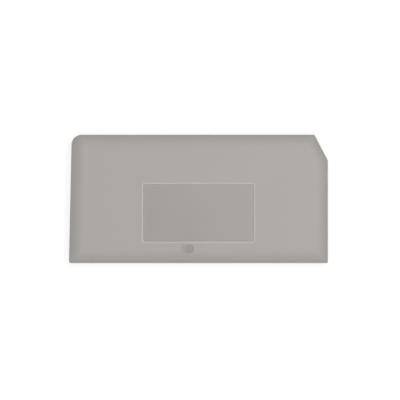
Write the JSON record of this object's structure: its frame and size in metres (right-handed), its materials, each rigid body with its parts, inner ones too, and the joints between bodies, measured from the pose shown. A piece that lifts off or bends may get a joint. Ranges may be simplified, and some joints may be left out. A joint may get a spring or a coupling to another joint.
{
  "type": "terminal block end cover",
  "caption": "Flat moulded end cover with softly rounded edges, a sunken label field and press-in pegs, closing the open side of a rail-mounted terminal block.",
  "frame": {"origin": "under the middle of the cover's outline, level with the tips of the pegs it rests on", "axes": "+X along the length, towards the slanting corner's end; +Y up the face, from the label field's edge to the top edge; +Z out of the outer face"},
  "size_m": [0.0604, 0.03, 0.0059],
  "materials": {
    "plastic": "fine spark-eroded texture, warm grey"
  },
  "bodies": {
    "root": {"end_cover": "plastic"}
  },
  "joints": []
}
